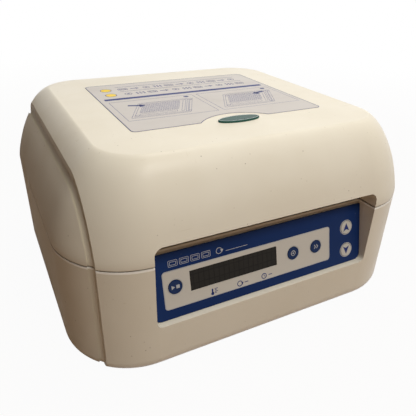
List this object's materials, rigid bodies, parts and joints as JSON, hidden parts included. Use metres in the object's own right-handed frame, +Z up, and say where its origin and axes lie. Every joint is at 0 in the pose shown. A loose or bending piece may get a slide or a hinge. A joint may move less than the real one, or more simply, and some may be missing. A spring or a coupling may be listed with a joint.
{
  "type": "thermal mixer",
  "caption": "Bench-top thermal mixer: ivory housing with a hinged lid over a heated orbiting platform for microplates, recessed key and display panel.",
  "frame": {"origin": "on the bench surface, under the centre of the closed housing", "axes": "+X to the right as seen from the front panel, +Y to the back, +Z up"},
  "size_m": [0.3, 0.2771, 0.1661],
  "materials": {
    "ivory_plastic": "light satin grain, lightly scuffed",
    "navy_film": "satin printed film",
    "fascia_film": "satin printed film",
    "display_dark": "dark filter window",
    "key_navy": "satin",
    "key_light": "satin",
    "label_film": "satin printed film",
    "badge_green": "domed gloss",
    "black_rubber": "matt",
    "seal_rubber": "matt",
    "steel": "plain",
    "aluminium": "anodised",
    "liner_plastic": "smooth",
    "board_green": "circuit board",
    "black_plastic": "fine grain",
    "motor_can": "semi gloss",
    "foam": "closed-cell foam",
    "heater_silicone": "silicone mat",
    "bronze": "sintered bush"
  },
  "bodies": {
    "base": {"base_shell": "ivory_plastic", "base_deck": "ivory_plastic", "bottom_plate": "steel", "rubber_feet": "black_rubber", "bottom_screws": "steel", "chamber_tray": "steel", "chamber_floor": "steel", "mechanism_plate": "aluminium", "mechanism_posts": "steel", "mechanism_screws": "steel", "drive_motor": "motor_can", "idler_bushes": "bronze", "power_supply": "steel", "board_standoffs": "steel", "control_board": "board_green", "display_module": "board_green", "display_window": "display_dark", "keypad_board": "board_green", "key_switches": "black_plastic", "panel_overlay": "navy_film", "panel_fascia": "fascia_film", "rear_panel": "steel", "power_inlet": "black_plastic", "switch_frame": "black_plastic", "fuse_holder": "black_plastic", "base_hinge_left": "steel", "base_hinge_right": "steel", "hinge_pins": "steel", "hinge_screws": "steel", "lid_sensor": "black_plastic"},
    "lid": {"lid_shell": "ivory_plastic", "lid_liner": "liner_plastic", "lid_heater": "aluminium", "lid_insulation": "foam", "lid_gasket": "seal_rubber", "lid_magnet": "steel", "lid_hinge_left": "steel", "lid_hinge_right": "steel", "lid_label": "label_film", "badge": "badge_green"},
    "drive_crank": {"drive_crank": "steel", "counterweight": "steel"},
    "platform": {"platform": "aluminium", "nest_frame": "aluminium", "platform_bearing": "steel", "heater_mat": "heater_silicone"},
    "power_rocker": {"power_rocker": "black_plastic"},
    "idler_front_left": {"idler_front_left": "steel"},
    "plate_clamp_front_left": {"plate_clamp_front_left": "black_plastic"},
    "idler_front_right": {"idler_front_right": "steel"},
    "plate_clamp_front_right": {"plate_clamp_front_right": "black_plastic"},
    "idler_rear_left": {"idler_rear_left": "steel"},
    "plate_clamp_rear_left": {"plate_clamp_rear_left": "black_plastic"},
    "idler_rear_right": {"idler_rear_right": "steel"},
    "plate_clamp_rear_right": {"plate_clamp_rear_right": "black_plastic"},
    "start_stop_key": {"start_stop_key": "key_navy"},
    "set_key": {"set_key": "key_navy"},
    "shift_key": {"shift_key": "key_navy"},
    "up_key": {"up_key": "key_light"},
    "down_key": {"down_key": "key_light"}
  },
  "joints": [
    {"name": "lid_hinge", "type": "hinge", "parent": "base", "child": "lid", "pos_m": [0, 0.1349, 0.105], "axis": [-1, 0, 0], "range_deg": [0, 80]},
    {"name": "drive_spin", "type": "hinge", "parent": "base", "child": "drive_crank", "pos_m": [0, -0.005, 0.06], "axis": [0, 0, 1], "continuous": true},
    {"name": "platform_orbit", "type": "hinge", "parent": "drive_crank", "child": "platform", "pos_m": [0.0015, -0.005, 0.075], "axis": [0, 0, 1], "continuous": true},
    {"name": "idler_front_left_spin", "type": "hinge", "parent": "base", "child": "idler_front_left", "pos_m": [-0.095, -0.055, 0.06], "axis": [0, 0, 1], "continuous": true},
    {"name": "idler_front_right_spin", "type": "hinge", "parent": "base", "child": "idler_front_right", "pos_m": [0.095, -0.055, 0.06], "axis": [0, 0, 1], "continuous": true},
    {"name": "idler_rear_left_spin", "type": "hinge", "parent": "base", "child": "idler_rear_left", "pos_m": [-0.095, 0.045, 0.06], "axis": [0, 0, 1], "continuous": true},
    {"name": "idler_rear_right_spin", "type": "hinge", "parent": "base", "child": "idler_rear_right", "pos_m": [0.095, 0.045, 0.06], "axis": [0, 0, 1], "continuous": true},
    {"name": "plate_clamp_front_left_slide", "type": "slide", "parent": "platform", "child": "plate_clamp_front_left", "axis": [0, 1, 0], "range_m": [0, 0.0024], "stiffness_N_per_m": 400},
    {"name": "plate_clamp_front_right_slide", "type": "slide", "parent": "platform", "child": "plate_clamp_front_right", "axis": [0, 1, 0], "range_m": [0, 0.0024], "stiffness_N_per_m": 400},
    {"name": "plate_clamp_rear_left_slide", "type": "slide", "parent": "platform", "child": "plate_clamp_rear_left", "axis": [0, -1, 0], "range_m": [0, 0.0024], "stiffness_N_per_m": 400},
    {"name": "plate_clamp_rear_right_slide", "type": "slide", "parent": "platform", "child": "plate_clamp_rear_right", "axis": [0, -1, 0], "range_m": [0, 0.0024], "stiffness_N_per_m": 400},
    {"name": "start_stop_key_press", "type": "slide", "parent": "base", "child": "start_stop_key", "axis": [0, 0.9732, -0.23], "range_m": [0, 0.0005], "stiffness_N_per_m": 600},
    {"name": "set_key_press", "type": "slide", "parent": "base", "child": "set_key", "axis": [0, 0.9732, -0.23], "range_m": [0, 0.0005], "stiffness_N_per_m": 600},
    {"name": "shift_key_press", "type": "slide", "parent": "base", "child": "shift_key", "axis": [0, 0.9732, -0.23], "range_m": [0, 0.0005], "stiffness_N_per_m": 600},
    {"name": "up_key_press", "type": "slide", "parent": "base", "child": "up_key", "axis": [0, 0.9732, -0.23], "range_m": [0, 0.0005], "stiffness_N_per_m": 600},
    {"name": "down_key_press", "type": "slide", "parent": "base", "child": "down_key", "axis": [0, 0.9732, -0.23], "range_m": [0, 0.0005], "stiffness_N_per_m": 600},
    {"name": "power_rocker_tilt", "type": "hinge", "parent": "base", "child": "power_rocker", "pos_m": [-0.036, 0.1317, 0.042], "axis": [1, 0, 0], "range_deg": [0, 14]}
  ],
  "couplings": [
    {"joint": "platform_orbit", "follows": "drive_spin", "ratio": -1},
    {"joint": "idler_front_left_spin", "follows": "drive_spin", "ratio": 1},
    {"joint": "idler_front_right_spin", "follows": "drive_spin", "ratio": 1},
    {"joint": "idler_rear_left_spin", "follows": "drive_spin", "ratio": 1},
    {"joint": "idler_rear_right_spin", "follows": "drive_spin", "ratio": 1}
  ]
}
